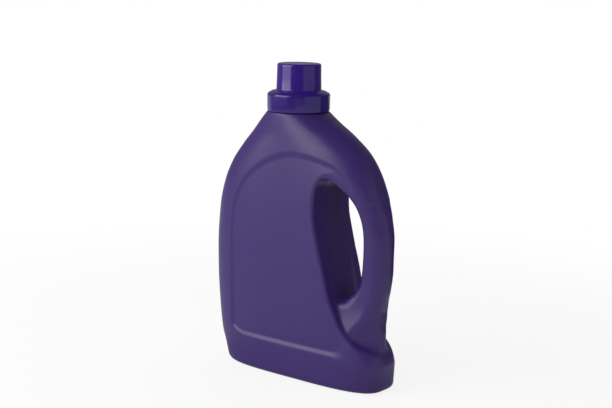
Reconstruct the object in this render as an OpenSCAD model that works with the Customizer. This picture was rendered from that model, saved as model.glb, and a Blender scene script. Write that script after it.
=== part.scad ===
// Detergent bottle with a moulded-through handle, a drain-back pour spout and a two-step screw cap.
// The bottle stands on z = 0, its front faces -Y and its handle is on the +X side.

/* [Bottle] */
// Reach of the tank from the neck axis, away from the handle
tank_reach = 83.2; // [70:0.5:100]
// Reach of the handle and foot from the neck axis
handle_reach = 104.9; // [98:0.5:120]
// Depth of the bottle from front to back
body_depth = 60; // [58:0.5:72]
// Height of the deck that carries the neck
deck_height = 237.6; // [200:1:280]
// Wall of the blown shell
wall = 1.4; // [1:0.1:1.8]
// Radius of the heel round the base
heel_radius = 5.5; // [4:0.5:9]
// Height of the hollow under the base
base_rise = 2; // [1:0.5:4]
// Width of the rim that the bottle stands on
base_rim = 9; // [6:1:14]

/* [Label panels] */
// Depth of the label panels, front and back
panel_depth = 1.8; // [0.8:0.1:2.4]

/* [Handle] */
// Depth of the grip from front to back, as cut from the tank's fuller section
grip_depth = 44; // [38:1:50]
// Rounding of the grip's inner edge towards the finger gap
grip_round = 9; // [6:0.5:11]

/* [Neck] */
// Bore radius of the neck
neck_bore_r = 22.4; // [20:0.1:22.8]
// Wall of the neck
neck_wall = 2; // [1.6:0.1:2.2]
// Height of the neck above the deck
neck_height = 11.4; // [10.8:0.1:14]

/* [Screw thread] */
// Rise of the thread in one turn
thread_lead = 6; // [5.6:0.1:6.4]
// Turns of the ridge on the neck
neck_thread_turns = 1.15; // [1:0.05:1.2]
// Turns of the ridge in the cap
cap_thread_turns = 1; // [0.7:0.05:1.05]
// Height of a thread ridge
thread_height = 1.3; // [1:0.05:1.4]
// Width of a thread ridge at its root
thread_root = 2.8; // [2.2:0.1:3]
// Width of a thread ridge at its crest
thread_crest = 1.3; // [1:0.1:1.6]

/* [Screw cap] */
// Outside radius of the cap's ring
ring_r = 28; // [27.8:0.1:29]
// Outside radius of the cap's grip cylinder, at its foot
knob_r = 19.9; // [19:0.1:20.8]
// Taper of the grip cylinder on the radius
knob_taper = 0.4; // [0:0.1:0.8]
// Height of the grip cylinder above the ring's shoulder
knob_height = 22.9; // [20:0.1:32]
// Rise of the ring's shoulder to the foot of the grip cylinder
shoulder_rise = 3.2; // [2.6:0.1:5]
// Rounding of the cap's outside edges
cap_fillet = 1.8; // [1:0.1:2]
// Wall of the cap
cap_wall = 1.6; // [1.4:0.1:1.7]

/* [Dosing cup] */
// Wall of the dosing cup
cup_wall = 1; // [0.8:0.1:1.2]
// Thickness of the dosing cup's flange
cup_flange = 1.1; // [0.8:0.1:1.6]
// Number of fill lines inside the cup
fill_lines = 3; // [1:1:4]

/* [Pour spout] */
// Thickness of the flange on the neck's lip
spout_flange = 1.2; // [0.8:0.1:1.6]
// Wall of the spout's moulding
spout_wall = 1.2; // [1:0.1:1.4]
// Outside radius of the pouring tube
tube_r = 12.5; // [10:0.1:13]
// Height of the tube's tip above the lip
tube_height = 20.5; // [16:0.5:22]
// Slant of the tube's mouth
mouth_slant = 28; // [10:1:30]
// Depth of the plug in the neck
plug_depth = 15; // [14:0.5:20]
// Slope of the drain floor
drain_slope = 9; // [4:1:10]
// Radius of the drain hole
drain_r = 2.6; // [2:0.1:3]

/* [Seal] */
// Thickness of the sealing ring
seal_thickness = 1.5; // [1:0.1:2]
// Radial width of the sealing ring
seal_width = 3.6; // [2.5:0.1:4]

/* [Clearances] */
// Gap between the cap's edge and the deck
cap_gap = 0.6; // [0.4:0.1:1]
// Gap between the seal and the spout's flange when the cap is shut
seal_gap = 0.15; // [0.1:0.05:0.3]
// Radial gap between the spout's plug and the neck
plug_gap = 0.1; // [0.05:0.05:0.2]
// Gap between crossing thread parts
thread_gap = 0.5; // [0.4:0.05:0.6]
// Gap between the dosing cup and the cap
cup_gap = 0.3; // [0.2:0.05:0.4]

/* [Hidden] */
$fn = 96;

// The neck axis stands off the middle of the bottle, which is the origin.
neck_x = (tank_reach - handle_reach) / 2;

// Side outlines from the base to the deck: share of the deck height, share of the reach.
tank_outline = [
    [0, 0.774], [0.025, 0.805], [0.07, 0.877], [0.125, 0.922], [0.23, 0.958], [0.36, 0.989],
    [0.48, 1], [0.61, 0.981], [0.71, 0.926], [0.79, 0.832], [0.855, 0.708], [0.92, 0.546]
];
handle_outline = [
    [0, 0.97], [0.03, 0.977], [0.06, 0.99], [0.095, 1], [0.13, 0.973], [0.163, 0.938],
    [0.213, 0.933], [0.288, 0.943], [0.373, 0.973], [0.457, 0.996], [0.54, 1],
    [0.625, 0.976], [0.71, 0.923], [0.793, 0.829], [0.857, 0.733], [0.92, 0.553]
];
// Depth of the tank: share of the deck height, share of the body depth.
depth_outline = [[0, 1], [0.42, 1], [0.63, 0.99], [0.76, 0.97], [0.87, 0.95]];
// Squareness of the tank's section: share of the deck height, exponent of the oval.
square_outline = [[0, 3.3], [0.42, 3.3], [0.63, 3], [0.76, 2.6], [0.86, 2.25], [0.93, 2], [1, 2]];
// How far the grip's depth has grown back to the tank's: share of the deck height, share.
grip_blend = [
    [0, 1], [0.2, 1], [0.25, 0.75], [0.285, 0.4], [0.33, 0.05], [0.36, 0], [0.55, 0],
    [0.66, 0.3], [0.74, 0.68], [0.8, 0.96], [1, 0.97]
];
// Squareness of the grip's section, likewise.
grip_outline = [[0, 2.3], [0.15, 2.1], [0.2, 2.05], [0.35, 2.5], [0.7, 2.5], [0.81, 2.45], [1, 2]];
grip_top = 0.805;
foot_top = 0.158;
// Where the two forms merge, the grip reaches this far up into the tank and lies this much inside it.
grip_overlap = 3;
grip_shy = 0.1;
// Share of the grip's depth over which the finger gap's rounding runs, each way from the middle.
flare_share = 0.41;

// Edge of the tank beside the handle, from the finger gap's top to the foot:
// share of the handle's reach, share of the deck height.
tank_edge = [
    [0.534, 0.79], [0.467, 0.79], [0.425, 0.768], [0.401, 0.742], [0.389, 0.693], [0.395, 0.63],
    [0.419, 0.581], [0.446, 0.534], [0.469, 0.495], [0.504, 0.427], [0.522, 0.396], [0.555, 0.341],
    [0.597, 0.293], [0.651, 0.247], [0.721, 0.21], [0.799, 0.184], [0.927, 0.163], [1, foot_top]
];
// Finger gap at the bottle's middle plane, anticlockwise from its lower left corner.
finger_gap = [
    [0.568, 0.321], [0.587, 0.313], [0.612, 0.315], [0.646, 0.328], [0.686, 0.345], [0.724, 0.37],
    [0.751, 0.4], [0.765, 0.442], [0.772, 0.49], [0.773, 0.54], [0.768, 0.585], [0.755, 0.619],
    [0.729, 0.655], [0.697, 0.686], [0.654, 0.716], [0.591, 0.747], [0.524, 0.769], [0.472, 0.775],
    [0.43, 0.761], [0.401, 0.735], [0.385, 0.693], [0.39, 0.63], [0.414, 0.581], [0.441, 0.534],
    [0.464, 0.495], [0.499, 0.427], [0.517, 0.396], [0.549, 0.343]
];
// Label panel, clockwise from its lower left corner.
panel_edge = [
    [-0.496, 0.17], [-0.505, 0.292], [-0.52, 0.528], [-0.515, 0.617], [-0.458, 0.668], [-0.424, 0.701],
    [-0.348, 0.747], [-0.238, 0.789], [-0.105, 0.823], [0.029, 0.844], [0.153, 0.854],
    [0.267, 0.852], [0.381, 0.844], [0.496, 0.831], [0.582, 0.814], [0.634, 0.80], [0.78, 0.68],
    [0.78, 0.19], [0.734, 0.173], [0.69, 0.145], [0.639, 0.135], [-0.324, 0.135],
    [-0.391, 0.136], [-0.458, 0.15]
];

outer_points = 48;
inner_points = 36;
outer_rows = 28;
inner_rows = 18;
heel_rows = 3;

// Small edges and laps of the closure.
deck_flat = 1;
deck_edge = 2;
deck_lap = 1.5;
lip_chamfer = 0.6;
thread_drop = 2.1;
thread_start = 0.5;
thread_sink = 0.5;
thread_spread = 0.3;
flange_shy = 0.4;
plug_chamfer = 0.4;
plug_lead_in = 1.5;
cup_corner = 1;
line_rise = 0.25;
line_half = 0.5;
line_sink = 0.3;
ring_chamfer = 0.3;
ring_lead_in = 1;
shoulder_dip = 0.6;
knob_fillet = 1.2;
seal_spread = 1;

// Radii and heights of the closure, all taken from the neck.
collar_r = ring_r + deck_flat;
neck_r = neck_bore_r + neck_wall;
neck_thread_r = neck_r + thread_height;
cap_bore_r = neck_thread_r + thread_gap;
cap_thread_r = cap_bore_r - thread_height;
lip_z = deck_height + neck_height;
spout_top_z = lip_z + spout_flange;
seal_z = spout_top_z + seal_gap;
cup_z = seal_z + seal_thickness;
ledge_z = cup_z + cup_flange;
cap_z = deck_height + cap_gap;
shoulder_z = ledge_z + cap_wall - shoulder_dip;
knob_z = shoulder_z + shoulder_rise;
cap_top_z = knob_z + knob_height;
cup_r = knob_r - knob_taper - cap_wall - cup_gap;
seal_outer_r = neck_r + seal_spread;

// Smooth curve through [place, value] pairs that never swings past a value.
function slope(p, i) = (p[i + 1][1] - p[i][1]) / (p[i + 1][0] - p[i][0]);
function lean(p, i) =
    i == 0 ? slope(p, 0) :
    i == len(p) - 1 ? slope(p, i - 1) :
    slope(p, i - 1) * slope(p, i) <= 0 ? 0 :
    2 * slope(p, i - 1) * slope(p, i) / (slope(p, i - 1) + slope(p, i));
function blend(p, i, w, t) =
    (2 * t ^ 3 - 3 * t ^ 2 + 1) * p[i][1] + (t ^ 3 - 2 * t ^ 2 + t) * w * lean(p, i) +
    (3 * t ^ 2 - 2 * t ^ 3) * p[i + 1][1] + (t ^ 3 - t ^ 2) * w * lean(p, i + 1);
function curve(p, x, i = 0) =
    i < len(p) - 2 && x > p[i + 1][0] ? curve(p, x, i + 1) :
    blend(p, i, p[i + 1][0] - p[i][0], (x - p[i][0]) / (p[i + 1][0] - p[i][0]));

// The bottle's section at a height: a rounded oval, thinned by an inset all round.
function tank_x(h) = tank_reach * curve(concat(tank_outline, [[1, collar_r / tank_reach]]), h);
function handle_x(h) = handle_reach * curve(concat(handle_outline, [[1, collar_r / handle_reach]]), h);
function half_depth(h) = body_depth / 2 * curve(concat(depth_outline, [[1, 2 * collar_r / body_depth]]), h);
function grip_half(h) = half_depth(h) - (body_depth - grip_depth) / 2 * (1 - curve(grip_blend, h));
function round_power(c, n) = sign(c) * abs(c) ^ (2 / n);
function oval(middle, a, b, n, z, points) = [
    for (i = [0:points - 1])
        let (t = 360 * i / points)
            [middle + a * round_power(cos(t), n), b * round_power(sin(t), n), z]
];
function section(z, h, inset, grip, points) = oval(
    (handle_x(h) - tank_x(h)) / 2,
    (handle_x(h) + tank_x(h)) / 2 - inset,
    (grip ? grip_half(h) : half_depth(h)) - inset,
    curve(grip ? grip_outline : square_outline, h),
    z,
    points
);
function heel(z) = z < heel_radius ? heel_radius - sqrt(heel_radius ^ 2 - (heel_radius - z) ^ 2) : 0;

// Solid through a list of rings with equal numbers of points.
module skin(rings) {
    n = len(rings[0]);
    last = len(rings) - 1;
    polyhedron(
        points = [for (ring = rings) each ring],
        faces = concat(
            [[for (i = [0:n - 1]) i]],
            [for (r = [0:last - 1], i = [0:n - 1])
                [r * n + i, (r + 1) * n + i, (r + 1) * n + (i + 1) % n, r * n + (i + 1) % n]],
            [[for (i = [0:n - 1]) last * n + n - 1 - i]]
        ),
        convexity = 10
    );
}

// Full outside form of the tank, or of the grip, which ends a little way up inside the tank.
module outside(inset, grip = false) {
    top_z = grip ? grip_top * deck_height + grip_overlap : deck_height;
    shy = grip ? grip_shy : 0;
    levels = concat(
        [for (i = [0:heel_rows - 1]) heel_radius * (1 - cos(90 * i / heel_rows))],
        [for (i = [0:outer_rows]) heel_radius + (top_z - heel_radius) * i / outer_rows]
    );
    skin([for (z = levels) section(z, z / deck_height, inset + shy + heel(z), grip, outer_points)]);
}

// Space inside the wall, kept a wall's thickness off the floor, sides and deck.
module inside(grip = false) {
    floor_z = base_rise + wall;
    roof_z = grip ? grip_top * deck_height + 2 * grip_overlap : deck_height - wall;
    shy = grip ? grip_shy : 0;
    skin([
        for (i = [0:inner_rows])
            let (z = floor_z + (roof_z - floor_z) * i / inner_rows)
                section(z, (z + wall) / deck_height, wall + shy + heel(z - wall), grip, inner_points)
    ]);
}

// Turns a flat outline in shares of reach and height into a block across the bottle.
module across(outline, grow = 0) {
    rotate([90, 0, 0])
        linear_extrude(3 * body_depth, center = true)
            offset(delta = grow)
                polygon([for (p = outline) [p[0] * handle_reach, p[1] * deck_height]]);
}

// Everything that has the tank's full depth: all but the hand's room round the grip.
tank_region = concat(
    [[-2, -0.2], [2, -0.2], [2, foot_top]],
    [for (i = [1:len(tank_edge)]) tank_edge[len(tank_edge) - i]],
    [[tank_edge[0][0], grip_top], [2, grip_top], [2, 1.2], [-2, 1.2]]
);

// The finger gap, whose grip side is rounded towards both faces. grow adds a wall all round.
module finger_hole(grow = 0) {
    p = [for (q = finger_gap) [q[0] * handle_reach, q[1] * deck_height]];
    n = len(p);
    flare_y = flare_share * grip_depth;
    levels = [1.6, 1.3, 0.99, 0.92, 0.8, 0.6, 0.3, -0.3, -0.6, -0.8, -0.92, -0.99, -1.3, -1.6];
    skin([
        for (s = levels)
            let (flare = grip_round * (1 - sqrt(max(0, 1 - s ^ 2))))
                [for (i = [0:n - 1])
                    let (
                        along = p[(i + 1) % n] - p[(i + n - 1) % n],
                        out = [along[1], -along[0]] / norm(along),
                        to_grip = max(0, out[0]) * (1 - max(0, -out[1]) / 2),
                        q = p[i] + out * grow + [flare * to_grip, 0]
                    )
                    [q[0], s * flare_y, q[1]]]
    ]);
}

// Label recess cut to a level depth below the outside.
module label_recess(grow = 0) {
    difference() {
        across(panel_edge, grow);
        outside(panel_depth + grow);
    }
}

// One shallow hollow under the base, so that the bottle stands on its rim.
module base_hollow() {
    skin([
        for (s = [-0.1, 0, 1])
            section(s * base_rise, 0, heel_radius + base_rim + s * base_rise, false, inner_points)
    ]);
}

module shell_outside() {
    difference() {
        union() {
            intersection() {
                outside(0);
                across(tank_region);
            }
            outside(0, grip = true);
        }
        finger_hole();
        label_recess();
        base_hollow();
    }
}

module shell_inside() {
    difference() {
        union() {
            intersection() {
                inside();
                across(tank_region, -wall);
            }
            inside(grip = true);
        }
        finger_hole(wall);
        label_recess(wall);
    }
}

// A thread ridge that climbs anticlockwise from start_angle, its root sunk into the wall.
module ridge(root_r, crest_r, start_angle, start_z, turns) {
    sink = sign(crest_r - root_r) * thread_sink;
    steps = ceil(36 * turns);
    fade = 3;
    rings = [
        for (i = [0:steps])
            let (
                a = start_angle + 360 * turns * i / steps,
                z = start_z + thread_lead * turns * i / steps,
                full = min(1, min(i, steps - i) / fade),
                tip = root_r + (crest_r - root_r) * (0.05 + 0.95 * full),
                inner = root_r - sink,
                half_root = thread_root / 2 + thread_spread,
                half_tip = thread_crest / 2 + (1 - full) * (thread_root - thread_crest) / 2
            )
            [for (q = [[inner, -half_root], [tip, -half_tip], [tip, half_tip], [inner, half_root]])
                [q[0] * cos(a), q[0] * sin(a), z + q[1]]]
    ];
    skin(crest_r < root_r ? rings : [for (ring = rings) [for (i = [3:-1:0]) ring[i]]]);
}

// Bottom centre line of the neck's ridge, and the cap's ridge that hooks under it.
neck_thread_z = lip_z - thread_drop - thread_lead * neck_thread_turns;
thread_step = (thread_root + thread_crest) / 2 + thread_gap / 2;
cap_thread_z = cap_z + thread_root / 2 + thread_start;
cap_thread_angle = (cap_thread_z - neck_thread_z + thread_step) / thread_lead * 360;

module neck_finish() {
    rotate_extrude()
        polygon([
            [neck_bore_r, deck_height - wall / 2], [collar_r - deck_edge, deck_height - wall / 2],
            [collar_r - deck_edge, deck_height + cap_gap / 2], [neck_r, deck_height + cap_gap / 2],
            [neck_r, lip_z - lip_chamfer], [neck_r - lip_chamfer, lip_z], [neck_bore_r, lip_z]
        ]);
    ridge(neck_r, neck_thread_r, 0, neck_thread_z, neck_thread_turns);
}

module bottle_body() {
    color([0.28, 0.20, 0.45]) translate([neck_x, 0, 0]) {
        resize([0, 0, 0]) difference() {
            shell_outside();
            shell_inside();
            translate([0, 0, deck_height - 3 * wall])
                cylinder(r = collar_r - deck_edge - deck_lap, h = 6 * wall, $fn = 48);
        }
        neck_finish();
    }
}

module pour_spout() {
    plug_r = neck_bore_r - plug_gap;
    floor_z = lip_z - plug_depth + spout_wall + (plug_r - spout_wall) * tan(drain_slope);
    hole_x = (plug_r - spout_wall + tube_r) / 2;
    color([0.93, 0.93, 0.95]) translate([neck_x, 0, 0]) {
        rotate_extrude()
            polygon([
                [plug_r - spout_wall, lip_z - plug_depth],
                [plug_r - plug_chamfer, lip_z - plug_depth],
                [plug_r, lip_z - plug_depth + plug_lead_in], [plug_r, lip_z],
                [neck_r - flange_shy, lip_z], [neck_r - flange_shy, spout_top_z],
                [plug_r - spout_wall, spout_top_z]
            ]);
        difference() {
            translate([0, 0, lip_z - plug_depth + spout_wall])
                cylinder(r = tube_r, h = plug_depth + tube_height - spout_wall);
            translate([0, 0, lip_z - 2 * plug_depth])
                cylinder(r = tube_r - spout_wall, h = 3 * plug_depth + tube_height);
            translate([-tube_r, 0, lip_z + tube_height])
                rotate([0, mouth_slant, 0])
                    translate([-tube_r, -2 * tube_r, 0])
                        cube([6 * tube_r, 4 * tube_r, 3 * tube_r]);
        }
        difference() {
            intersection() {
                translate([0, 0, lip_z - plug_depth])
                    cylinder(r = plug_r - spout_wall / 2, h = plug_depth);
                translate([0, 0, floor_z])
                    rotate([0, drain_slope, 0])
                        cube([4 * plug_r, 4 * plug_r, spout_wall], center = true);
            }
            translate([0, 0, lip_z - 2 * plug_depth])
                cylinder(r = tube_r - spout_wall / 2, h = 3 * plug_depth);
            translate([hole_x, 0, lip_z - 2 * plug_depth])
                cylinder(r = drain_r, h = 3 * plug_depth);
        }
    }
}

module seal_ring() {
    color([0.96, 0.96, 0.94]) translate([neck_x, 0, seal_z])
        rotate_extrude()
            translate([seal_outer_r - seal_width, 0])
                square([seal_width, seal_thickness]);
}

module dosing_cup() {
    cup_roof_z = cap_top_z - cap_wall - 2 * cup_gap;
    inner_r = cup_r - cup_wall;
    line_step = (cup_roof_z - ledge_z) / (fill_lines + 1);
    color([0.90, 0.90, 0.93]) translate([neck_x, 0, 0]) {
        rotate_extrude()
            polygon([
                [inner_r, cup_z], [cap_bore_r - cup_gap, cup_z], [cap_bore_r - cup_gap, ledge_z],
                [cup_r, ledge_z], [cup_r, cup_roof_z - cup_corner], [cup_r - cup_corner, cup_roof_z],
                [0, cup_roof_z], [0, cup_roof_z - cup_wall], [inner_r, cup_roof_z - cup_wall]
            ]);
        for (i = [1:fill_lines])
            translate([0, 0, ledge_z + i * line_step])
                rotate_extrude()
                    polygon([
                        [inner_r + line_sink, -line_half], [inner_r - line_rise, 0],
                        [inner_r + line_sink, line_half]
                    ]);
    }
}

// Points of a quarter turn round a middle, for the profile of a rounded edge.
function arc(middle, r, from, to) = [
    for (i = [0:6])
        let (a = from + (to - from) * i / 6)
            middle + r * [cos(a), sin(a)]
];

module cap_shell() {
    top_r = knob_r - knob_taper;
    bore_top_r = cup_r + cup_gap;
    color([0.22, 0.12, 0.45]) translate([neck_x, 0, 0]) {
        rotate_extrude()
            polygon(concat(
                [[cap_bore_r, cap_z], [ring_r - ring_chamfer, cap_z], [ring_r, cap_z + ring_lead_in]],
                arc([ring_r - cap_fillet, shoulder_z], cap_fillet, 0, 70),
                arc([knob_r + knob_fillet, knob_z + knob_fillet / 3], knob_fillet, 255, 180),
                arc([top_r - cap_fillet, cap_top_z - cap_fillet], cap_fillet, 0, 90),
                [[0, cap_top_z], [0, cap_top_z - cap_wall], [bore_top_r, cap_top_z - cap_wall]],
                [[bore_top_r, ledge_z], [cap_bore_r, ledge_z]]
            ));
        ridge(cap_bore_r, cap_thread_r, cap_thread_angle, cap_thread_z, cap_thread_turns);
    }
}

bottle_body();
pour_spout();
seal_ring();
dosing_cup();
cap_shell();
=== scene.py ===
import math

import bpy
import numpy as np
from mathutils import Matrix, Vector


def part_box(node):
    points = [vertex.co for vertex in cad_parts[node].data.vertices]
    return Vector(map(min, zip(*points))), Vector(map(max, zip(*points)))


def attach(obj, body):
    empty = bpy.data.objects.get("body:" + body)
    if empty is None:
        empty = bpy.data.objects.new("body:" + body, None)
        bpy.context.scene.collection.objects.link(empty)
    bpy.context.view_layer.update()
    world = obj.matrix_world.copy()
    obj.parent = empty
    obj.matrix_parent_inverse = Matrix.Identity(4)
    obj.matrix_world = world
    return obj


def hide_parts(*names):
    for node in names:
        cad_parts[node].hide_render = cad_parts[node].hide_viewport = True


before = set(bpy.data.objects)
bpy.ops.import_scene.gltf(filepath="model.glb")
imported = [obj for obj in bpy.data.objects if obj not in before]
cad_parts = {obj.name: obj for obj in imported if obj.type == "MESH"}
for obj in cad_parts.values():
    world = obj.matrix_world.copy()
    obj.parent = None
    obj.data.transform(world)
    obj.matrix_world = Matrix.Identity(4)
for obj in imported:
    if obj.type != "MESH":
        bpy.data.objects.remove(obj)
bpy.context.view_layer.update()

# Bottle body
# Tank, handle, foot and neck are one blow-moulded polyethylene shell, pinched shut between two
# mould halves, so a faint parting line runs round the middle. The neck is trimmed after blowing.

MM = 0.001
body_low, body_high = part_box("bottle_body")
cap_low, cap_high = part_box("cap_shell")
neck_x = (cap_low[0] + cap_high[0]) / 2

# Sizes are in millimetres, with x measured from the neck axis.
tank_reach = (neck_x - body_low[0]) / MM
handle_reach = (body_high[0] - neck_x) / MM
half_body = (body_high[1] - body_low[1]) / 2 / MM
lip_height = body_high[2] / MM
neck_height = 11.4
deck_height = lip_height - neck_height
deck_round = 0.8
ring_r = (cap_high[0] - cap_low[0]) / 2 / MM
neck_seat_r = 27.7
neck_bore_r = 22.4
neck_r = 24.4
neck_well_depth = 6

# The base: a rounded heel, a standing rim and a shallow hollow inside it. Its nose, below the
# handle, is a little rounder in plan and sharper at the heel.
heel_radius = 5.5
nose_heel = 0.5
nose_square = -0.25
base_rim = 9
base_rise = 2
base_square = 3
hollow_round = 1.5
rim_round = 1.2

# The label panel is sunk into the tank, slightly deeper along its edge than in its middle. Its
# step is softest at the corner below the handle.
panel_depth = 1.4
panel_soft = 2.3
panel_dish = 0.3
panel_dish_reach = 22
corner_soft = 5

# The grip is shallower than the tank, starts just inside the tank's edge and has three flats a
# side. Each flat is given by the direction that it faces, along the length and across the depth.
# The edge flat retreats outwards where the grip grows back to the tank.
grip_drop = 8
grip_lap = 1
side_face = (0.616, 0.788)
edge_face = (0.926, 0.377)
edge_cut = 1.8
edge_retreat = 12
ramp_face = (0.14, 0.99)
ramp_x = 66
ridge_round = 2.5
ramp_round = 2
ramp_soft = 6

# The step from the tank down to the grip, and the crease under it. Both fade out where the
# two surfaces come closer than step_full.
edge_round = 1.8
foot_round = 1.4
crease_round = 1.8
step_full = 3

# The finger gap: its edge, and how it follows the round inside of the grip.
gap_round = 3
gap_sill = 4
gap_crown = 4
gap_draft = 1.6
gap_lap = 1.3
grip_round = 9
grip_half = 18

# Where a form fades in: the place where it starts and the place where it is full.
# The corner spans are in millimetres. The others are shares of deck height or handle reach.
nose_span = (0.3, 0.1)
foot_span = (0.26, 0.16)
sill_span = (0.42, 0.32)
shoulder_span = (0.62, 0.8)
flare_span = (0.45, 0.73)
corner_span_x = (62, 74)
corner_span_z = (70, 50)

# Side outlines from base to deck: share of the deck height, share of the reach.
tank_outline = [
    (0, 0.804), (0.025, 0.829), (0.07, 0.868), (0.125, 0.92), (0.23, 0.961), (0.36, 0.991),
    (0.48, 1), (0.61, 0.983), (0.71, 0.93), (0.79, 0.836), (0.855, 0.708), (0.92, 0.556),
    (0.965, 0.438), (1, neck_seat_r / tank_reach),
]
handle_outline = [
    (0, 0.988), (0.03, 0.99), (0.06, 0.994), (0.095, 0.998), (0.12, 0.985), (0.145, 0.963),
    (0.175, 0.955), (0.213, 0.948), (0.25, 0.935), (0.288, 0.933), (0.33, 0.949), (0.373, 0.973),
    (0.457, 1), (0.54, 1), (0.6, 0.988), (0.65, 0.963), (0.7, 0.918), (0.743, 0.879),
    (0.793, 0.83), (0.857, 0.736), (0.92, 0.574), (0.965, 0.397),
    (1, neck_seat_r / handle_reach),
]
depth_outline = [
    (0, 1), (0.42, 1), (0.63, 0.99), (0.76, 0.97), (0.87, 0.95), (1, neck_seat_r / half_body),
]
# Squareness of the tank's section at each height share, where 2 is a plain ellipse.
tank_square = [
    (0, 3.45), (0.42, 3.5), (0.63, 3.2), (0.76, 2.75), (0.86, 2.35), (0.93, 2), (1, 2),
]
grip_square = [
    (0, 2.6), (0.13, 2.6), (0.18, 2.7), (0.27, 3), (0.35, 3.2), (0.6, 3.2), (0.7, 2.8),
    (0.81, 2.45), (1, 2),
]
# How far the grip's section has grown back to the tank's, at the foot and at the shoulder.
grip_blend = [
    (0, 1), (0.2, 1), (0.25, 0.75), (0.285, 0.4), (0.33, 0.05), (0.36, 0), (0.5, 0),
    (0.58, 0.1), (0.64, 0.3), (0.7, 0.6), (0.75, 0.85), (0.8, 1), (1, 1),
]
# The grip's front flat turns into its side flat here: height share, distance out to the side flat.
grip_ridge = [
    (0, 90), (0.12, 74), (0.16, 65.5), (0.19, 64.6), (0.235, 65.3), (0.27, 67), (0.32, 68.3),
    (0.4, 68.9), (0.57, 69), (0.64, 67.6), (0.69, 67.4), (0.73, 74), (0.78, 100), (1, 140),
]
# The front flat leans back like a ramp below the finger gap: height share, depth beside the gap.
grip_front = [
    (0, 36), (0.1, 31), (0.2, 24), (0.337, 17.2), (0.4, 16.8), (0.55, 17), (0.62, 18.2),
    (0.69, 20.8), (0.75, 24.5), (0.81, 30), (1, 50),
]

# Edge of the tank beside the hand's room, the finger gap and the label panel:
# share of the handle's reach, share of the deck height.
tank_edge = [
    (0.60, 0.81), (0.534, 0.797), (0.467, 0.79), (0.425, 0.768), (0.401, 0.742), (0.389, 0.693),
    (0.395, 0.63), (0.419, 0.581), (0.446, 0.534), (0.469, 0.495), (0.504, 0.427), (0.522, 0.396),
    (0.555, 0.341), (0.597, 0.293), (0.651, 0.247), (0.721, 0.21), (0.799, 0.18), (0.887, 0.158),
    (0.96, 0.146), (1.1, 0.138),
]
finger_gap = [
    (0.563, 0.333), (0.585, 0.327), (0.612, 0.33), (0.646, 0.342), (0.686, 0.357), (0.724, 0.378),
    (0.751, 0.4), (0.765, 0.442), (0.772, 0.49), (0.773, 0.54), (0.768, 0.585), (0.755, 0.619),
    (0.729, 0.655), (0.697, 0.686), (0.654, 0.716), (0.591, 0.747), (0.524, 0.769), (0.472, 0.775),
    (0.43, 0.761), (0.401, 0.735), (0.385, 0.693), (0.39, 0.63), (0.414, 0.581), (0.441, 0.534),
    (0.464, 0.495), (0.499, 0.427), (0.517, 0.396), (0.545, 0.352),
]
panel_edge = [
    (-0.496, 0.17), (-0.505, 0.292), (-0.519, 0.45), (-0.519, 0.55), (-0.503, 0.62),
    (-0.468, 0.672), (-0.418, 0.713), (-0.348, 0.75), (-0.238, 0.789), (-0.105, 0.823),
    (0.029, 0.844), (0.153, 0.854), (0.267, 0.852), (0.381, 0.844), (0.496, 0.831), (0.582, 0.814),
    (0.70, 0.76), (0.80, 0.60), (0.82, 0.35), (0.80, 0.21), (0.734, 0.173), (0.69, 0.145),
    (0.639, 0.135), (0.45, 0.135), (0.2, 0.135), (0, 0.135), (-0.324, 0.135), (-0.391, 0.137),
    (-0.458, 0.148),
]


def smooth_curve(pairs, place):
    """Monotone cubic through (place, value) pairs, so an outline never swings past its points."""
    spots, values = np.array(pairs, float).T
    step = np.diff(spots)
    rise = np.diff(values) / step
    product = rise[:-1] * rise[1:]
    lean = np.concatenate([[rise[0]], np.zeros(len(rise) - 1), [rise[-1]]])
    keep = product > 0
    lean[1:-1][keep] = (2 * product / np.where(keep, rise[:-1] + rise[1:], 1))[keep]
    i = np.clip(np.searchsorted(spots, place) - 1, 0, len(step) - 1)
    t = (place - spots[i]) / step[i]
    return (
        (2 * t**3 - 3 * t**2 + 1) * values[i] + (t**3 - 2 * t**2 + t) * step[i] * lean[i]
        + (3 * t**2 - 2 * t**3) * values[i + 1] + (t**3 - t**2) * step[i] * lean[i + 1]
    )


def rounded_line(shares, closed=True, pieces=8):
    """Points in millimetres along a smooth line through an outline given in shares."""
    knots = np.array(shares) * (handle_reach, deck_height)
    count = len(knots)
    line = []
    for i in range(count if closed else count - 1):
        pick = [i + k for k in (-1, 0, 1, 2)]
        a, b, c, d = knots[np.mod(pick, count) if closed else np.clip(pick, 0, count - 1)]
        for t in np.arange(pieces) / pieces:
            line.append(
                0.5 * (2 * b + (c - a) * t + (2 * a - 5 * b + 4 * c - d) * t**2
                       + (3 * b - a - 3 * c + d) * t**3)
            )
    return np.array(line) if closed else np.array(line + [knots[-1]])


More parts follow.
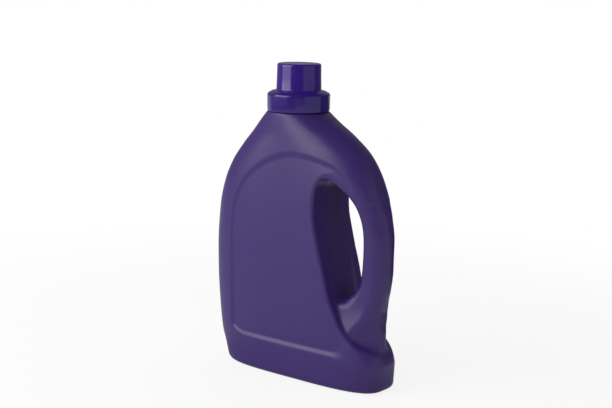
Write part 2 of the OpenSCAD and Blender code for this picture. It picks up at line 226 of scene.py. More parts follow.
def outline_field(loop, pitch=0.5, margin=12):
    low = np.array((-tank_reach - margin, -margin))
    high = np.array((handle_reach + 2 * margin, deck_height + margin))
    gx = np.arange(low[0], high[0], pitch)[:, None]
    gz = np.arange(low[1], high[1], pitch)[None, :]
    nearest = np.full(np.broadcast(gx, gz).shape, np.inf)
    inside = np.zeros(nearest.shape, bool)
    for (ax, az), (bx, bz) in zip(loop, np.roll(loop, -1, axis=0)):
        ex, ez = bx - ax, bz - az
        along = np.clip(((gx - ax) * ex + (gz - az) * ez) / (ex * ex + ez * ez), 0, 1)
        nearest = np.minimum(nearest, (gx - ax - along * ex) ** 2 + (gz - az - along * ez) ** 2)
        if az != bz:
            inside ^= ((az > gz) != (bz > gz)) & (gx < ax + (gz - az) * ex / ez)
    field = np.where(inside, -1, 1) * np.sqrt(nearest)

    def look(x, z):
        u = np.clip((x - low[0]) / pitch, 0, field.shape[0] - 1.001)
        v = np.clip((z - low[1]) / pitch, 0, field.shape[1] - 1.001)
        i, j = u.astype(int), v.astype(int)
        p, q = u - i, v - j
        return (
            (1 - p) * ((1 - q) * field[i, j] + q * field[i, j + 1])
            + p * ((1 - q) * field[i + 1, j] + q * field[i + 1, j + 1])
        )

    return look


def oval_distance(x, y, a, b, n):
    """Distance to a rounded oval of half width a, half depth b and squareness n."""
    u, v = np.abs(x) / a, np.abs(y) / b
    size = np.maximum((u**n + v**n) ** (1 / n), 1e-4)
    pull = np.hypot((u / size) ** (n - 1) / a, (v / size) ** (n - 1) / b)
    return (size - 1) / np.maximum(pull, 1 / (a + b))


def flat_distance(face, x, y):
    """Distance from the axis towards a flat's facing direction, alike on both sides."""
    return face[0] * x + face[1] * np.abs(y)


def round_max(a, b, radius):
    """Keeps what both solids share, with their meeting edge rounded to a radius."""
    corner = np.hypot(np.maximum(a + radius, 0), np.maximum(b + radius, 0))
    return np.minimum(np.maximum(a, b), -radius) + corner


def round_min(a, b, radius):
    """Joins two solids, with a fillet of a radius along their meeting line."""
    return -round_max(-a, -b, radius)


def fade(place, start, full):
    """Nothing before the start, one from full on, and a straight rise between them."""
    return np.clip((place - start) / (full - start), 0, 1)


def ease(t):
    """Softens both ends of a fade."""
    return t * t * (3 - 2 * t)


edge_line = rounded_line(tank_edge, closed=False)
far_side = [(2 * handle_reach, edge_line[-1][1]), (2 * handle_reach, edge_line[0][1])]
room_distance = outline_field(np.vstack([edge_line, far_side]))
gap_distance = outline_field(rounded_line(finger_gap))
panel_distance = outline_field(rounded_line(panel_edge))


def panel_recess(x, z):
    """How far the label panel lies below the tank, with a softer step at its handle corner."""
    corner = fade(x, *corner_span_x) * fade(z, *corner_span_z)
    inset = -panel_distance(x, z)
    soft = panel_soft + corner_soft * corner
    dish = panel_dish * np.exp(-np.maximum(inset, 0) / panel_dish_reach)
    return (panel_depth + dish * (1 - corner)) * ease(fade(inset, -soft, soft))


def grip_with_flats(grip, x, y, h, right, top):
    """Cuts the side flat, the outer edge flat and the front ramp from the grip."""
    side = flat_distance(side_face, x, y) - smooth_curve(grip_ridge, h)
    edge = flat_distance(edge_face, x - right, y) - edge_cut
    edge = edge - edge_retreat * smooth_curve(grip_blend, h)
    ramp = flat_distance(ramp_face, x - ramp_x, y) - ramp_face[1] * smooth_curve(grip_front, h)
    grip = round_max(round_max(grip, side, ridge_round), edge, ridge_round)
    return round_max(grip, ramp, ramp_round + ramp_soft * top)


def without_finger_gap(solid, x, y, z, h, top):
    """Cuts the finger gap, which narrows towards the parting line and flares over the grip."""
    share = fade(x / handle_reach, *flare_span)
    flare = grip_round * (1 - np.sqrt(1 - np.clip(y / grip_half, -1, 1) ** 2))
    draft = gap_draft * (1 - np.minimum(np.abs(y) / half_body, 1))
    gap = gap_distance(x - flare * share * (1 - top) - (draft - gap_lap) * (1 - share), z)
    sill = gap_sill * fade(h, *sill_span)
    crown = gap_crown * top * share
    return round_max(solid, -gap, gap_round + sill + crown)


def bottle_distance(x, y, z):
    """Distance from the outside of the blown shell, below the neck, in millimetres."""
    h = np.clip(z / deck_height, 0, 1)
    left = tank_reach * smooth_curve(tank_outline, h)
    right = handle_reach * smooth_curve(handle_outline, h)
    depth = half_body * smooth_curve(depth_outline, h)
    middle, half = (right - left) / 2, (right + left) / 2
    nose = fade((x - middle) / half, 0, 1) * fade(h, *nose_span)
    top = ease(fade(h, *shoulder_span))

    square = smooth_curve(tank_square, h) + nose_square * nose
    tank = oval_distance(x - middle, y, half, depth, square) + panel_recess(x, z)

    # Right of its edge the tank gives way to the shallower grip, down to the foot.
    grip_depth = depth - grip_drop * (1 - smooth_curve(grip_blend, h))
    grip = oval_distance(x - middle, y, half, grip_depth, smooth_curve(grip_square, h))
    grip = grip_with_flats(grip + (tank - grip) * top, x, y, h, right, top)
    apart = np.clip(np.abs(grip - tank) / step_full, 0.01, 1)
    room = room_distance(x, z)
    grip = np.maximum(grip, room - grip_lap)
    tank = round_max(tank, -room, (edge_round + foot_round * fade(h, *foot_span)) * apart)
    solid = round_min(tank, grip, crease_round * apart)
    solid = without_finger_gap(solid, x, y, z, h, top)

    inward = heel_radius + base_rim
    hollow = oval_distance(x - middle, y, half - inward, depth - inward, base_square)
    solid = round_max(solid, -z, heel_radius - nose_heel * nose)
    solid = round_max(solid, -round_max(hollow, z - base_rise, hollow_round), rim_round)
    solid = round_max(solid, z - deck_height, deck_round)
    well = np.maximum(np.hypot(x, y) - neck_bore_r, deck_height - neck_well_depth - z)
    return np.maximum(solid, -well)


def surface_net(distance, low, high, step):
    """Quads over the zero surface of a distance, one corner in each cell that it passes through."""
    axes = [np.arange(a, b + step, step) for a, b in zip(low, high)]
    x, y, z = np.meshgrid(*axes, indexing="ij", sparse=True)
    field = distance(x, y, z)
    solid = field < 0
    n0, n1, n2 = (n - 1 for n in field.shape)
    filled = sum(
        solid[i : i + n0, j : j + n1, k : k + n2].astype(int)
        for i in (0, 1) for j in (0, 1) for k in (0, 1)
    )
    cells = np.argwhere((filled > 0) & (filled < 8))
    number = np.full(filled.shape, -1)
    number[tuple(cells.T)] = np.arange(len(cells))
    total, hits = np.zeros((len(cells), 3)), np.zeros(len(cells))
    quads = []
    for axis in range(3):
        unit, second, third = np.roll(np.eye(3, dtype=int), -axis, axis=0)
        for p in (0, 1):
            for q in (0, 1):
                start = cells + p * second + q * third
                fa, fb = field[tuple(start.T)], field[tuple((start + unit).T)]
                hit = (fa < 0) != (fb < 0)
                part = np.where(hit, fa / np.where(hit, fa - fb, 1), 0)
                total += np.where(hit[:, None], start + part[:, None] * unit, 0)
                hits += hit
        ahead = np.take(solid, range(1, solid.shape[axis]), axis)
        behind = np.take(solid, range(solid.shape[axis] - 1), axis)
        edges = np.argwhere(ahead != behind)
        around = [edges, edges - second, edges - second - third, edges - third]
        ring = np.stack([number[tuple(c.T)] for c in around], axis=1)
        leaving = behind[tuple(edges.T)]
        quads.append(np.where(leaving[:, None], ring, ring[:, ::-1]))
    return np.array(low) + step * total / hits[:, None], np.vstack(quads)


def settle(points, quads, distance, rounds):
    """Evens out a net and puts every corner exactly on the surface."""
    probe, least_slope, longest_move = 0.05, 0.2, 1
    a = np.concatenate([quads[:, k] for k in range(4)])
    b = np.concatenate([quads[:, (k + 1) % 4] for k in range(4)])
    ends, starts = np.concatenate([a, b]), np.concatenate([b, a])
    links = np.bincount(ends, minlength=len(points))[:, None]
    for turn in range(rounds):
        if turn < rounds - 1:
            sums = [np.bincount(ends, points[starts, k], len(points)) for k in range(3)]
            points = points + 0.5 * (np.stack(sums, 1) / links - points)
        slope = np.stack([
            distance(*(points + probe * unit).T) - distance(*(points - probe * unit).T)
            for unit in np.eye(3)
        ], 1) / (2 * probe)
        off = distance(*points.T) / np.maximum((slope**2).sum(1), least_slope)
        points = points - np.clip(off, -longest_move, longest_move)[:, None] * slope
    return points


def place_mesh(name, points, faces):
    """A smooth-shaded object from points in millimetres about the neck axis."""
    mesh = bpy.data.meshes.new(name)
    spots = np.array(points) * MM + (neck_x, 0, 0)
    mesh.from_pydata(spots.tolist(), [], [list(map(int, f)) for f in faces])
    mesh.shade_smooth()
    mesh.update()
    piece = bpy.data.objects.new(name, mesh)
    bpy.context.collection.objects.link(piece)
    return piece


def lathe(profile, turns=160, closed=True):
    """Points and faces of a profile of (radius, height) turned about the neck axis.

    An open profile starts and ends near the axis and is closed there with a pole.
    """
    angle = np.arange(turns) * 2 * math.pi / turns
    points = [(r * math.cos(a), r * math.sin(a), z) for r, z in profile for a in angle]
    count = len(profile)
    faces = [
        (i * turns + j, i * turns + (j + 1) % turns,
         (i + 1) % count * turns + (j + 1) % turns, (i + 1) % count * turns + j)
        for i in range(count if closed else count - 1) for j in range(turns)
    ]
    if not closed:
        start, end = len(points), len(points) + 1
        points += [(0, 0, profile[0][1]), (0, 0, profile[-1][1])]
        last = (count - 1) * turns
        faces += [(start, (j + 1) % turns, j) for j in range(turns)]
        faces += [(last + j, last + (j + 1) % turns, end) for j in range(turns)]
    return points, faces


def arc(centre, radius, start, end, steps=6):
    """Points of an arc in a profile, angles in degrees from the outward direction."""
    angles = [math.radians(start + (end - start) * i / steps) for i in range(steps + 1)]
    return [(centre[0] + radius * math.cos(a), centre[1] + radius * math.sin(a)) for a in angles]


net_step = 1.25
net_margin = 3 * net_step
net_low = (-tank_reach - net_margin, -half_body - net_margin, -net_margin)
net_high = (handle_reach + net_margin, half_body + net_margin, deck_height + net_margin)
shell_points, shell_faces = surface_net(bottle_distance, net_low, net_high, net_step)
shell_points = settle(shell_points, shell_faces, bottle_distance, rounds=4)

# The neck has a rounded lip and stands on the deck, with its flared foot sunk into the shell.
lip_inside = 0.5
lip_outside = 0.6
neck_fillet = 0.8
neck_lift = 0.05
neck_foot_r = ring_r - 1
neck_foot_z = deck_height - 5
neck_profile = (
    [(neck_bore_r, neck_foot_z)]
    + arc((neck_bore_r + lip_inside, lip_height - lip_inside), lip_inside, 180, 90, 4)
    + arc((neck_r - lip_outside, lip_height - lip_outside), lip_outside, 90, 0, 4)
    + arc((neck_r + neck_fillet, deck_height + neck_fillet + neck_lift), neck_fillet, 180, 270, 4)
    + [(neck_foot_r, deck_height + neck_lift), (neck_foot_r, deck_height - 1)]
    + [(neck_bore_r + 1, neck_foot_z)]
)
neck_points, neck_faces = lathe(neck_profile[::-1])
body_points = np.vstack([shell_points, neck_points])
body_faces = np.vstack([shell_faces, np.array(neck_faces) + len(shell_points)])
bottle = place_mesh("bottle_shell", body_points, body_faces)


def add_node(tree, kind, values=None, **settings):
    """A node with its own settings by name and its socket values by label."""
    node = tree.nodes.new(kind)
    for name, value in settings.items():
        setattr(node, name, value)
    for label, value in (values or {}).items():
        node.inputs[label].default_value = value
    return node


def join(tree, *pairs):
    """Links each output to its input."""
    for source, target in pairs:
        tree.links.new(source, target)


def math_node(tree, operation, *values):
    """A math node fed by sockets or plain numbers."""
    node = add_node(tree, "ShaderNodeMath", operation=operation)
    for spot, value in enumerate(values):
        if isinstance(value, bpy.types.NodeSocket):
            tree.links.new(value, node.inputs[spot])
        else:
            node.inputs[spot].default_value = value
    return node.outputs[0]


# Moulded grain: the fine pebble that a moulding takes from its tool, and slow changes of gloss.
grain = bpy.data.node_groups.new("moulded_grain", "ShaderNodeTree")
for label, value in (
    ("Grain Size", 900), ("Gloss Patches", 40), ("Low Roughness", 0.3), ("High Roughness", 0.4),
):
    socket = grain.interface.new_socket(label, in_out="INPUT", socket_type="NodeSocketFloat")
    socket.default_value = value
for label in ("Height", "Roughness"):
    grain.interface.new_socket(label, in_out="OUTPUT", socket_type="NodeSocketFloat")
grain_in = grain.nodes.new("NodeGroupInput").outputs
grain_out = grain.nodes.new("NodeGroupOutput").inputs
grain_place = grain.nodes.new("ShaderNodeTexCoord").outputs["Object"]
fine = add_node(grain, "ShaderNodeTexNoise", {"Detail": 3})
slow = add_node(grain, "ShaderNodeTexNoise", {"Detail": 4})
spread = add_node(grain, "ShaderNodeMapRange", {"From Min": 0.3, "From Max": 0.7})
join(
    grain,
    (grain_place, fine.inputs["Vector"]),
    (grain_in["Grain Size"], fine.inputs["Scale"]),
    (fine.outputs["Fac"], grain_out["Height"]),
    (grain_place, slow.inputs["Vector"]),
    (grain_in["Gloss Patches"], slow.inputs["Scale"]),
    (slow.outputs["Fac"], spread.inputs["Value"]),
    (grain_in["Low Roughness"], spread.inputs["To Min"]),
    (grain_in["High Roughness"], spread.inputs["To Max"]),
    (spread.outputs["Result"], grain_out["Roughness"]),
)


def moulded_plastic(name, colour, tint, rough, grain_size, bump):
    """A moulded plastic: slightly uneven colour, gloss patches and tool grain."""
    material = bpy.data.materials.new(name)
    material.use_nodes = True
    tree = material.node_tree
    shader = tree.nodes["Principled BSDF"]
    shader.inputs["IOR"].default_value = 1.5
    surface = add_node(
        tree, "ShaderNodeGroup",
        {"Grain Size": grain_size, "Low Roughness": rough[0], "High Roughness": rough[1]},
        node_tree=grain,
    )
    lift = add_node(
        tree, "ShaderNodeBump", {"Strength": bump, "Distance": 0.2 * MM}, name="grain_bump"
    )
    place = tree.nodes.new("ShaderNodeTexCoord")
    cloud = add_node(tree, "ShaderNodeTexNoise", {"Scale": 14})
    mix = add_node(
        tree, "ShaderNodeMix", {"A": (*colour, 1), "B": (*tint, 1)},
        data_type="RGBA", name="plain_colour",
    )
    join(
        tree,
        (place.outputs["Object"], cloud.inputs["Vector"]),
        (cloud.outputs["Fac"], mix.inputs["Factor"]),
        (mix.outputs["Result"], shader.inputs["Base Color"]),
        (surface.outputs["Roughness"], shader.inputs["Roughness"]),
        (surface.outputs["Height"], lift.inputs["Height"]),
        (lift.outputs["Normal"], shader.inputs["Normal"]),
    )
    return material


hdpe = moulded_plastic(
    "violet_polyethylene", colour=(0.030, 0.010, 0.114), tint=(0.033, 0.012, 0.122),
    rough=(0.34, 0.40), grain_size=1400, bump=0.12,
)

# The mould halves leave a fine ridge where they meet, as a bump over the grain.
line_half_width = 0.45
line_height = 0.15
tree = hdpe.node_tree
line_place = add_node(tree, "ShaderNodeTexCoord")
line_split = add_node(tree, "ShaderNodeSeparateXYZ")
line_rise = add_node(
    tree, "ShaderNodeMapRange", {"From Max": line_half_width * MM, "To Min": 1, "To Max": 0},
    interpolation_type="SMOOTHSTEP",
)
line_bump = add_node(tree, "ShaderNodeBump", {"Strength": 0.6, "Distance": line_height * MM})
join(
    tree,
    (line_place.outputs["Object"], line_split.inputs["Vector"]),
    (math_node(tree, "ABSOLUTE", line_split.outputs["Y"]), line_rise.inputs["Value"]),
    (line_rise.outputs["Result"], line_bump.inputs["Height"]),
    (tree.nodes["grain_bump"].outputs["Normal"], line_bump.inputs["Normal"]),
    (line_bump.outputs["Normal"], tree.nodes["Principled BSDF"].inputs["Normal"]),
)
bottle.data.materials.append(hdpe)
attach(bottle, "bottle")
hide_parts("bottle_body")

# A screw thread: a ridge with a flat crest, swept up a helix and run out to nothing at both ends.
# A negative ridge height points the ridge inwards, for the thread inside the cap.
screw = bpy.data.node_groups.new("screw_thread", "GeometryNodeTree")
screw.is_modifier = True
screw.interface.new_socket("Geometry", in_out="INPUT", socket_type="NodeSocketGeometry")
thread_sockets = {
    label: screw.interface.new_socket(label, in_out="INPUT", socket_type=kind).identifier
    for label, kind in (
        ("Wall Radius", "NodeSocketFloat"), ("Lead", "NodeSocketFloat"),
        ("Turns", "NodeSocketFloat"), ("Start Angle", "NodeSocketFloat"),
        ("Start Height", "NodeSocketFloat"), ("Ridge Height", "NodeSocketFloat"),
        ("Root Width", "NodeSocketFloat"), ("Crest Width", "NodeSocketFloat"),
        ("Sunk Depth", "NodeSocketFloat"), ("Run Out Turns", "NodeSocketFloat"),
        ("Material", "NodeSocketMaterial"),
    )
}
screw.interface.new_socket("Geometry", in_out="OUTPUT", socket_type="NodeSocketGeometry")
size = screw.nodes.new("NodeGroupInput").outputs
screw_out = screw.nodes.new("NodeGroupOutput")

helix = add_node(screw, "GeometryNodeCurveSpiral", {"Resolution": 96, "Reverse": True})
seat = add_node(screw, "GeometryNodeTransform")
seat_spin = add_node(screw, "ShaderNodeCombineXYZ")
seat_rise = add_node(screw, "ShaderNodeCombineXYZ")
level = add_node(screw, "GeometryNodeSetCurveNormal", mode="Z_UP")
join(
    screw,
    (size["Turns"], helix.inputs["Rotations"]),
    (size["Wall Radius"], helix.inputs["Start Radius"]),
    (size["Wall Radius"], helix.inputs["End Radius"]),
    (math_node(screw, "MULTIPLY", size["Lead"], size["Turns"]), helix.inputs["Height"]),
    (size["Start Angle"], seat_spin.inputs["Z"]),
    (size["Start Height"], seat_rise.inputs["Z"]),
    (helix.outputs["Curve"], seat.inputs["Geometry"]),
    (seat_spin.outputs["Vector"], seat.inputs["Rotation"]),
    (seat_rise.outputs["Vector"], seat.inputs["Translation"]),
    (seat.outputs["Geometry"], level.inputs["Curve"]),
)

thinnest_end = 0.05
along = add_node(screw, "GeometryNodeSplineParameter").outputs["Factor"]
to_end = math_node(screw, "MINIMUM", along, math_node(screw, "SUBTRACT", 1.0, along))
turns_to_end = math_node(screw, "MULTIPLY", to_end, size["Turns"])
ramp_up = math_node(screw, "DIVIDE", turns_to_end, size["Run Out Turns"])
ramp_up = math_node(screw, "MINIMUM", ramp_up, 1.0)
taper = add_node(screw, "GeometryNodeSetCurveRadius")
join(
    screw,
    (level.outputs["Curve"], taper.inputs["Curve"]),
    (math_node(screw, "MAXIMUM", ramp_up, thinnest_end), taper.inputs["Radius"]),
)

ridge = add_node(
    screw, "GeometryNodeCurvePrimitiveQuadrilateral", {"Offset": 0}, mode="TRAPEZOID"
)
lift_ridge = add_node(screw, "GeometryNodeTransform")
ridge_out = add_node(screw, "ShaderNodeCombineXYZ")
ridge_turn = add_node(screw, "ShaderNodeCombineXYZ")
ridge_height = math_node(screw, "ABSOLUTE", size["Ridge Height"])
ridge_deep = math_node(screw, "ADD", ridge_height, size["Sunk Depth"])
middle_out = math_node(screw, "MULTIPLY", ridge_deep, 0.5)
middle_out = math_node(screw, "SUBTRACT", middle_out, size["Sunk Depth"])
outward = math_node(screw, "SIGN", size["Ridge Height"])
join(
    screw,
    (ridge_deep, ridge.inputs["Height"]),
    (size["Root Width"], ridge.inputs["Bottom Width"]),
    (size["Crest Width"], ridge.inputs["Top Width"]),
    (math_node(screw, "MULTIPLY", middle_out, outward), ridge_out.inputs["X"]),
    (math_node(screw, "MULTIPLY", outward, -math.pi / 2), ridge_turn.inputs["Z"]),
    (ridge.outputs["Curve"], lift_ridge.inputs["Geometry"]),
    (ridge_turn.outputs["Vector"], lift_ridge.inputs["Rotation"]),
    (ridge_out.outputs["Vector"], lift_ridge.inputs["Translation"]),
)

sweep = add_node(screw, "GeometryNodeCurveToMesh", {"Fill Caps": True})
realize = add_node(screw, "GeometryNodeRealizeInstances")
dress = add_node(screw, "GeometryNodeSetMaterial")
join(
    screw,
    (taper.outputs["Curve"], sweep.inputs["Curve"]),
    (lift_ridge.outputs["Geometry"], sweep.inputs["Profile Curve"]),
    (sweep.outputs["Mesh"], realize.inputs["Geometry"]),
    (realize.outputs["Geometry"], dress.inputs["Geometry"]),
    (size["Material"], dress.inputs["Material"]),
    (dress.outputs["Geometry"], screw_out.inputs["Geometry"]),
)

thread_lead = 6
thread_height = 1.3
thread_root = 2.8
thread_crest = 1.3
thread_sink = 0.5
thread_run_out = 1 / 12


def cut_thread(name, wall_r, turns, start_angle, start_z, height, material):
    """A thread as a plain mesh about the neck axis, from the screw_thread nodes."""
    holder = bpy.data.objects.new(name + "_maker", bpy.data.meshes.new(name + "_maker"))
    bpy.context.collection.objects.link(holder)
    maker = holder.modifiers.new("thread", "NODES")
    maker.node_group = screw
    for label, value in (
        ("Wall Radius", wall_r * MM), ("Lead", thread_lead * MM), ("Turns", turns),
        ("Start Angle", math.radians(start_angle)), ("Start Height", start_z * MM),
        ("Ridge Height", height * MM), ("Root Width", thread_root * MM),
        ("Crest Width", thread_crest * MM), ("Sunk Depth", thread_sink * MM),
        ("Run Out Turns", thread_run_out), ("Material", material),
    ):
        maker[thread_sockets[label]] = value
    bpy.context.view_layer.update()
    made = holder.evaluated_get(bpy.context.evaluated_depsgraph_get())
    mesh = bpy.data.meshes.new_from_object(made)
    holder.modifiers.clear()
    bpy.data.objects.remove(holder)
    mesh.transform(Matrix.Translation((neck_x, 0, 0)))
    thread = bpy.data.objects.new(name, mesh)
    bpy.context.collection.objects.link(thread)
    return thread


neck_turns = 1.15
thread_below_lip = 2.1
neck_thread_z = lip_height - thread_below_lip - thread_lead * neck_turns
neck_thread = cut_thread("neck_thread", neck_r, neck_turns, 0, neck_thread_z, thread_height, hdpe)
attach(neck_thread, "bottle")

# Screw cap
# The two-step cap is injection moulded in polished polypropylene: a wide ring that hides the
# thread, and a grip cylinder that is just wide enough for a dosing cup.

cap_z = cap_low[2] / MM
cap_top = cap_high[2] / MM
cap_wall = 1.6
cap_bore_r = 26.2
ledge_over_lip = 3.95
ledge_wall = 1
shoulder_rise = 3.2
ledge_z = lip_height + ledge_over_lip
shoulder_z = ledge_z + ledge_wall
knob_z = shoulder_z + shoulder_rise
knob_foot_r = 19.9
knob_top_r = 19.5
knob_bore_r = knob_top_r - cap_wall
knob_roof = cap_top - cap_wall
pole_r = 2
ring_foot_round = 0.7
ring_top_round = 2.6
knob_foot_round = 1.2
knob_top_round = 1.7
mouth_chamfer = 0.3
# The ledge inside the ring holds the cup's flange down on the seal and the spout's flange.
cap_inside = [
    (pole_r, knob_roof), (knob_bore_r - 1, knob_roof), (knob_bore_r, knob_roof - 1),
    (knob_bore_r, ledge_z), (cap_bore_r, ledge_z), (cap_bore_r, cap_z + mouth_chamfer),
    (cap_bore_r + mouth_chamfer, cap_z),
]
cap_ring = (
    arc((ring_r - 1, cap_z + ring_foot_round), ring_foot_round, 270, 360)
    + [(ring_r - 0.05, cap_z + 3), (ring_r, cap_z + 6), (ring_r, shoulder_z - 2.4)]
    + arc((ring_r - ring_top_round, shoulder_z - 2), ring_top_round, 0, 62, 10)
)
cap_knob = (
    [(knob_foot_r + 4, shoulder_z + 1.75), (knob_foot_r + 2.2, shoulder_z + 2.2)]
    + arc((knob_foot_r + 1.3, knob_z + 0.35), knob_foot_round, 255, 184, 8)
    + [(knob_foot_r - 0.2, knob_z + 10), (knob_top_r + 0.02, cap_top - 3)]
    + arc((knob_top_r - knob_top_round, cap_top - knob_top_round), knob_top_round, 0, 90, 10)
    + [(3 * pole_r, cap_top), (pole_r, cap_top)]
)
cap_points, cap_faces = lathe(cap_inside + cap_ring + cap_knob, turns=192, closed=False)
cap = place_mesh("cap_moulding", cap_points, cap_faces)

gloss = moulded_plastic(
    "violet_polypropylene", colour=(0.022, 0.007, 0.128), tint=(0.024, 0.008, 0.134),
    rough=(0.12, 0.16), grain_size=500, bump=0.03,
)
# Painted light: the thin grip cylinder is coloured a little lighter than the ring, standing in for
# light that comes through its wall.
knob_painted_glow_colour = (0.030, 0.0075, 0.168)
tree = gloss.node_tree
cap_place = add_node(tree, "ShaderNodeTexCoord")
cap_height = add_node(tree, "ShaderNodeSeparateXYZ")
# The painted glow fades in with height, from the ring's shoulder up onto the grip cylinder.
thin = add_node(
    tree, "ShaderNodeMapRange", {"From Min": shoulder_z * MM, "From Max": (knob_z + 2) * MM},
    interpolation_type="SMOOTHSTEP",
)
lit = add_node(tree, "ShaderNodeMix", {"B": (*knob_painted_glow_colour, 1)}, data_type="RGBA")
join(
    tree,
    (cap_place.outputs["Object"], cap_height.inputs["Vector"]),
    (cap_height.outputs["Z"], thin.inputs["Value"]),
    (thin.outputs["Result"], lit.inputs["Factor"]),
    (tree.nodes["plain_colour"].outputs["Result"], lit.inputs["A"]),
    (lit.outputs["Result"], tree.nodes["Principled BSDF"].inputs["Base Color"]),
)
cap.data.materials.append(gloss)
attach(cap, "cap")
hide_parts("cap_shell")

# The cap's thread starts just above the ring's edge, turned so that it hooks under the neck's.
cap_turns = 1
thread_above_edge = 0.5
thread_gap = 0.25
cap_thread_z = cap_z + thread_root / 2 + thread_above_edge
thread_step = (thread_root + thread_crest) / 2 + thread_gap
cap_thread_angle = (cap_thread_z - neck_thread_z + thread_step) / thread_lead * 360
cap_thread = cut_thread(
    "cap_thread", cap_bore_r, cap_turns, cap_thread_angle, cap_thread_z, -thread_height, gloss
)
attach(cap_thread, "cap")

# Pour spout, seal and dosing cup
# These light mouldings sit out of sight under the cap: a drain-back spout plugged into the neck,
# a foam ring that seals its flange, and a thin cup for measuring a dose.

natural = moulded_plastic(
    "natural_polyethylene", colour=(0.76, 0.76, 0.79), tint=(0.80, 0.80, 0.82),
    rough=(0.38, 0.46), grain_size=900, bump=0.1,
)
foam = moulded_plastic(
    "closed_cell_foam", colour=(0.82, 0.82, 0.79), tint=(0.88, 0.88, 0.85),
    rough=(0.75, 0.85), grain_size=2600, bump=0.6,
)
milky = moulded_plastic(
    "milky_polypropylene", colour=(0.72, 0.72, 0.79), tint=(0.76, 0.76, 0.82),
    rough=(0.2, 0.28), grain_size=700, bump=0.05,
)
for node, material in (("pour_spout", natural), ("seal_ring", foam), ("dosing_cup", milky)):
    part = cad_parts[node]
    part.data.materials.clear()
    part.data.materials.append(material)

# Stage
# A white sweep, a tall soft lamp beside the camera, a weaker one behind and a dim room give the
# calm studio look. Sizes from here on are in metres.


def seen_rays(tree):
    """One where the eye, a reflection or a clear piece looks straight at the background."""
    path = tree.nodes.new("ShaderNodeLightPath").outputs
    seen = math_node(tree, "MAXIMUM", path["Is Camera Ray"], path["Is Glossy Ray"])
    return math_node(tree, "MAXIMUM", seen, path["Is Transmission Ray"])


floor_half = 40
floor_mesh = bpy.data.meshes.new("floor")
floor_mesh.from_pydata(
    [(x * floor_half, y * floor_half, 0) for x, y in ((-1, -1), (1, -1), (1, 1), (-1, 1))],
    [], [(0, 1, 2, 3)],
)
floor = bpy.data.objects.new("floor", floor_mesh)
bpy.context.collection.objects.link(floor)

# Near the bottle the floor still shows its shadow, and further out it fades into plain white.
shadow_near, shadow_far = 0.3, 0.75
near_white = 0.84
paper = bpy.data.materials.new("white_sweep")
paper.use_nodes = True
tree = paper.node_tree
matte = tree.nodes["Principled BSDF"]
matte.inputs["Base Color"].default_value = (0.7, 0.7, 0.7, 1)
matte.inputs["Roughness"].default_value = 0.9
matte.inputs["Specular IOR Level"].default_value = 0.1
glow = add_node(tree, "ShaderNodeEmission")
floor_place = add_node(tree, "ShaderNodeTexCoord")
away = add_node(tree, "ShaderNodeVectorMath", operation="LENGTH")
whiter = add_node(
    tree, "ShaderNodeMapRange",
    {"From Min": shadow_near, "From Max": shadow_far, "To Min": near_white, "To Max": 1},
    interpolation_type="SMOOTHSTEP",
)
white_share = math_node(tree, "MULTIPLY", seen_rays(tree), whiter.outputs["Result"])
floor_mix = add_node(tree, "ShaderNodeMixShader")
join(
    tree,
    (floor_place.outputs["Object"], away.inputs[0]),
    (away.outputs["Value"], whiter.inputs["Value"]),
    (white_share, floor_mix.inputs["Fac"]),
    (matte.outputs["BSDF"], floor_mix.inputs[1]),
    (glow.outputs["Emission"], floor_mix.inputs[2]),
    (floor_mix.outputs["Shader"], tree.nodes["Material Output"].inputs["Surface"]),
)
floor_mesh.materials.append(paper)

room_level = 0.69
world = bpy.data.worlds.new("studio")
bpy.context.scene.world = world
world.use_nodes = True
tree = world.node_tree
room_light = tree.nodes["Background"]
room_light.inputs["Color"].default_value = (1, 1, 1, 1)
room_light.inputs["Strength"].default_value = room_level
backdrop = add_node(tree, "ShaderNodeBackground", {"Color": (1, 1, 1, 1)})
world_mix = add_node(tree, "ShaderNodeMixShader")
join(
    tree,
    (seen_rays(tree), world_mix.inputs["Fac"]),
    (room_light.outputs["Background"], world_mix.inputs[1]),
    (backdrop.outputs["Background"], world_mix.inputs[2]),
    (world_mix.outputs["Shader"], tree.nodes["World Output"].inputs["Surface"]),
)

# The camera stands 38 degrees round to the handle's side and looks slightly down. Its focal
# length is in points of the render, like the render's width.
azimuth, tilt, roll = math.radians(38), math.radians(10.42), math.radians(1.13)
film_width = 36
render_width = 612
focal_length = 1250
camera_from_neck = Vector((0.6893, -0.8688, 0.3575))
sideways = Vector((math.cos(azimuth), math.sin(azimuth), 0))
ahead = Vector((-math.sin(azimuth), math.cos(azimuth), 0))
forward = ahead * math.cos(tilt) - Vector((0, 0, math.sin(tilt)))
upward = sideways.cross(forward)
camera_x = sideways * math.cos(roll) + upward * math.sin(roll)
camera_y = upward * math.cos(roll) - sideways * math.sin(roll)
camera_data = bpy.data.cameras.new("camera")
camera_data.sensor_fit = "HORIZONTAL"
camera_data.sensor_width = film_width
camera_data.lens = film_width * focal_length / render_width
camera = bpy.data.objects.new("camera", camera_data)
turn = Matrix((camera_x, camera_y, -forward)).transposed().to_4x4()
camera.matrix_world = Matrix.Translation(camera_from_neck + Vector((neck_x, 0, 0))) @ turn
bpy.context.collection.objects.link(camera)
bpy.context.scene.camera = camera


def beside_camera(degrees, radius, height):
    """A spot round the bottle, at an angle beside the camera (left is negative)."""
    angle = azimuth - math.pi / 2 + math.radians(degrees)
    return Vector((radius * math.cos(angle), radius * math.sin(angle), height))


def soft_lamp(name, beside, distance, height, width, tall, radiance, in_reflections=True):
    """A soft box of a given brightness, aimed at the middle of the bottle."""
    aim_height = 0.14
    data = bpy.data.lights.new(name, "AREA")
    data.shape = "RECTANGLE"
    data.size, data.size_y = width, tall
    data.energy = radiance * math.pi * width * tall
    lamp = bpy.data.objects.new(name, data)
    lamp.location = beside_camera(beside, distance, height)
    aim = Vector((0, 0, aim_height)) - lamp.location
    lamp.rotation_euler = aim.to_track_quat("-Z", "Y").to_euler()
    lamp.visible_camera = False
    lamp.visible_glossy = in_reflections
    bpy.context.collection.objects.link(lamp)


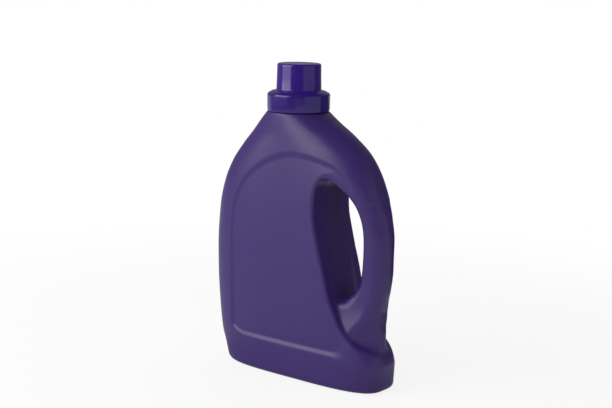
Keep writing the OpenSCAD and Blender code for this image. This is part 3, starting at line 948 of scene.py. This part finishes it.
soft_lamp(
    "left_soft_box", beside=-70, distance=1.15, height=0.7, width=1.35, tall=1.12, radiance=3.1
)
soft_lamp(
    "back_fill", beside=168, distance=1.5, height=0.9, width=1.2, tall=1.2, radiance=0.8,
    in_reflections=False,
)


def grey_flag(name, level, points, faces):
    """A plain grey card that only reflections see, so the satin plastic doesn't turn milky."""
    mesh = bpy.data.meshes.new(name)
    mesh.from_pydata(points, [], faces)
    card = bpy.data.objects.new(name, mesh)
    grey = bpy.data.materials.new(name)
    grey.use_nodes = True
    tree = grey.node_tree
    even = add_node(tree, "ShaderNodeEmission", {"Color": (level, level, level, 1)})
    join(tree, (even.outputs["Emission"], tree.nodes["Material Output"].inputs["Surface"]))
    mesh.materials.append(grey)
    bpy.context.collection.objects.link(card)
    for ray in ("camera", "diffuse", "transmission", "volume_scatter", "shadow"):
        setattr(card, "visible_" + ray, False)


def curved_card(first, second, start, end, steps):
    """Points and faces between two arcs of (radius, height), their ends beside the camera."""
    points = [
        beside_camera(start + (end - start) * i / steps, radius, height)
        for i in range(steps + 1) for radius, height in (first, second)
    ]
    return points, [(2 * i, 2 * i + 2, 2 * i + 3, 2 * i + 1) for i in range(steps)]


def flat_disc(radius, height, steps=48):
    """Points and one face of a level disc."""
    angles = [math.radians(360 * i / steps) for i in range(steps)]
    points = [(radius * math.cos(a), radius * math.sin(a), height) for a in angles]
    return points, [tuple(range(steps))]


# Upright flags stand round the set. The level ones lie in thin layers just over the floor, apart
# from the ceiling.
for name, level, radius, top, start, end, steps in (
    ("far_wall_flag", 0.22, 3.0, 2.6, 0, 360, 60),
    ("front_flag", 0.04, 2.2, 2.4, -42, 30, 24),
    ("side_card", 0.5, 1.9, 1.1, 22, 86, 24),
    ("hole_flag", 0.07, 2.4, 1.8, 90, 140, 24),
):
    grey_flag(name, level, *curved_card((radius, 0), (radius, top), start, end, steps))
for name, level, inner, outer, start, end in (
    ("shade_flag", 0.06, 0.25, 2.4, 86, 150),
    ("far_table_flag", 0.22, 1.05, 2.6, -120, -12),
):
    grey_flag(name, level, *curved_card((inner, 0.0012), (outer, 0.0012), start, end, 16))
for name, level, radius, height in (
    ("ceiling_flag", 0.04, 3.0, 2.6), ("table_flag", 0.62, 2.9, 0.0008),
    ("foot_flag", 0.36, 0.12, 0.0016),
):
    grey_flag(name, level, *flat_disc(radius, height))

bpy.context.scene.view_settings.view_transform = "Standard"
